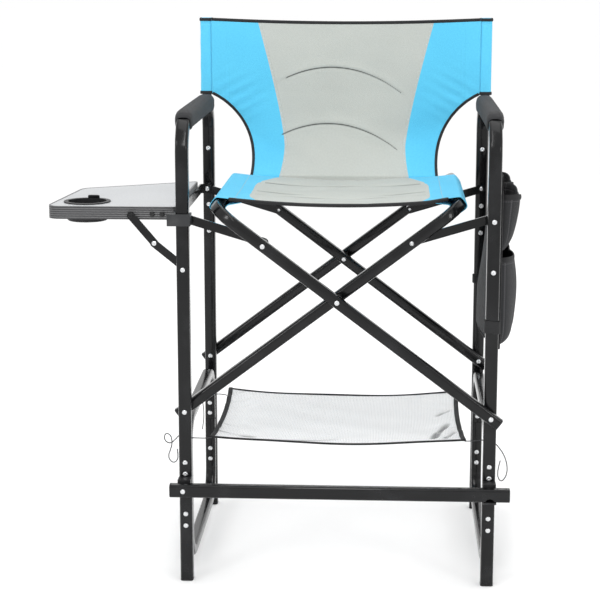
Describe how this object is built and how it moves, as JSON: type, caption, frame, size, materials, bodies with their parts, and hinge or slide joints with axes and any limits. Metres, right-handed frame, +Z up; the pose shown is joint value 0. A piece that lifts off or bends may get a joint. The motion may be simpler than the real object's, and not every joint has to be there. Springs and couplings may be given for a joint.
{
  "type": "folding director chair",
  "caption": "Tall folding director chair: scissor tube frame, sling seat and back, padded arms, drop-leaf side table, swing-up foot bar, mesh shelf and side bag.",
  "frame": {"origin": "middle of the footprint on the floor", "axes": "+Z up, the sitter faces -Y, the side table is towards -X and the bag towards +X"},
  "size_m": [0.917, 0.5856, 1.0876],
  "materials": {
    "black_tube": "gloss black powder coat",
    "black_plastic": "satin moulded",
    "grey_plastic": "moulded",
    "steel": "bright rivets",
    "ribbed_rim": "ribbed dark grey",
    "pale_board": "fine textured laminate",
    "blue_cloth": "woven with pale grey panels",
    "dark_cloth": "woven",
    "white_mesh": "open mesh with dark webbing",
    "dark_cord": "braided cord"
  },
  "bodies": {
    "left_frame": {"left_side_tube": "black_tube", "left_upper_loop": "black_tube", "left_lower_loop": "black_tube", "left_front_foot": "black_plastic", "left_rear_foot": "black_plastic", "left_back_post": "black_tube", "left_arm_pad": "dark_cloth", "left_front_pivot_pin": "steel", "left_rear_pivot_pin": "steel", "left_front_link_leg_pin": "steel", "left_rear_link_leg_pin": "steel", "left_foot_bar_saddle": "black_plastic", "foot_bar_pin": "steel", "table_clamp": "grey_plastic", "brace_foot_pin": "steel", "front_left_tie": "dark_cord", "rear_left_tie": "dark_cord", "back_fabric": "blue_cloth", "shelf_net": "white_mesh"},
    "right_seat_tube": {"right_seat_tube": "black_tube", "right_seat_tube_front_plug": "black_plastic", "right_seat_tube_rear_plug": "black_plastic", "right_front_link_tube_pin": "steel", "right_rear_link_tube_pin": "steel"},
    "left_seat_tube": {"left_seat_tube": "black_tube", "left_seat_tube_front_plug": "black_plastic", "left_seat_tube_rear_plug": "black_plastic", "front_crossing_pin": "steel", "rear_crossing_pin": "steel", "left_front_link_tube_pin": "steel", "left_rear_link_tube_pin": "steel", "seat_fabric": "blue_cloth"},
    "right_frame": {"right_side_tube": "black_tube", "right_upper_loop": "black_tube", "right_lower_loop": "black_tube", "right_front_foot": "black_plastic", "right_rear_foot": "black_plastic", "right_back_post": "black_tube", "right_arm_pad": "dark_cloth", "right_front_pivot_pin": "steel", "right_rear_pivot_pin": "steel", "right_front_link_leg_pin": "steel", "right_rear_link_leg_pin": "steel", "right_foot_bar_saddle": "black_plastic", "side_bag": "dark_cloth", "front_right_tie": "dark_cord"},
    "left_links": {"left_front_link": "black_tube", "left_rear_link": "black_tube"},
    "right_links": {"right_front_link": "black_tube", "right_rear_link": "black_tube"},
    "foot_bar": {"foot_bar": "black_tube"},
    "table": {"table_rim": "ribbed_rim", "table_board": "pale_board", "table_hinge_strip": "black_tube", "cup_holder": "black_plastic", "brace_top_pin": "steel"},
    "brace_upper": {"brace_upper_bar": "black_tube"},
    "brace_lower": {"brace_lower_bar": "black_tube", "brace_elbow_pin": "steel"}
  },
  "joints": [
    {"name": "fold", "type": "hinge", "parent": "left_frame", "child": "right_seat_tube", "pos_m": [-0.192, 0.011, 0.346], "axis": [0, -1, 0], "range_deg": [0, 38.85], "deforming": ["seat_fabric", "back_fabric", "shelf_net"]},
    {"name": "scissor", "type": "hinge", "parent": "right_seat_tube", "child": "left_seat_tube", "pos_m": [0.105, 0.011, 0.571], "axis": [0, -1, 0], "range_deg": [-77.72, 0]},
    {"name": "right_frame_pivot", "type": "hinge", "parent": "left_seat_tube", "child": "right_frame", "pos_m": [0.402, 0.011, 0.346], "axis": [0, -1, 0], "range_deg": [0, 38.86]},
    {"name": "left_links_pivot", "type": "hinge", "parent": "left_frame", "child": "left_links", "pos_m": [-0.192, 0.011, 0.72523], "axis": [0, -1, 0], "range_deg": [0, 89.93]},
    {"name": "right_links_pivot", "type": "hinge", "parent": "right_frame", "child": "right_links", "pos_m": [0.402, 0.011, 0.72523], "axis": [0, -1, 0], "range_deg": [-89.93, 0]},
    {"name": "foot_bar_pivot", "type": "hinge", "parent": "left_frame", "child": "foot_bar", "pos_m": [-0.192, -0.281, 0.199], "axis": [0, -1, 0], "range_deg": [0, 88]},
    {"name": "table_fold", "type": "hinge", "parent": "left_frame", "child": "table", "pos_m": [-0.192, 0.011, 0.72523], "axis": [0, -1, 0], "range_deg": [0, 90]},
    {"name": "brace_lower_pivot", "type": "hinge", "parent": "left_frame", "child": "brace_lower", "pos_m": [-0.192, -0.217, 0.628], "axis": [0, -1, 0], "range_deg": [0, 138.69]},
    {"name": "brace_upper_pivot", "type": "hinge", "parent": "table", "child": "brace_upper", "pos_m": [-0.295, -0.213, 0.728], "axis": [0, -1, 0], "range_deg": [-117.71, 0]}
  ],
  "couplings": [
    {"joint": "scissor", "follows": "fold", "ratio": -2},
    {"joint": "right_frame_pivot", "follows": "fold", "ratio": 1},
    {"joint": "left_links_pivot", "follows": "fold", "ratio": 2.3132},
    {"joint": "right_links_pivot", "follows": "fold", "ratio": -2.3132},
    {"joint": "foot_bar_pivot", "follows": "fold", "ratio": 2.2647},
    {"joint": "brace_lower_pivot", "follows": "table_fold", "ratio": 1.5405},
    {"joint": "brace_upper_pivot", "follows": "table_fold", "ratio": -1.3074}
  ]
}
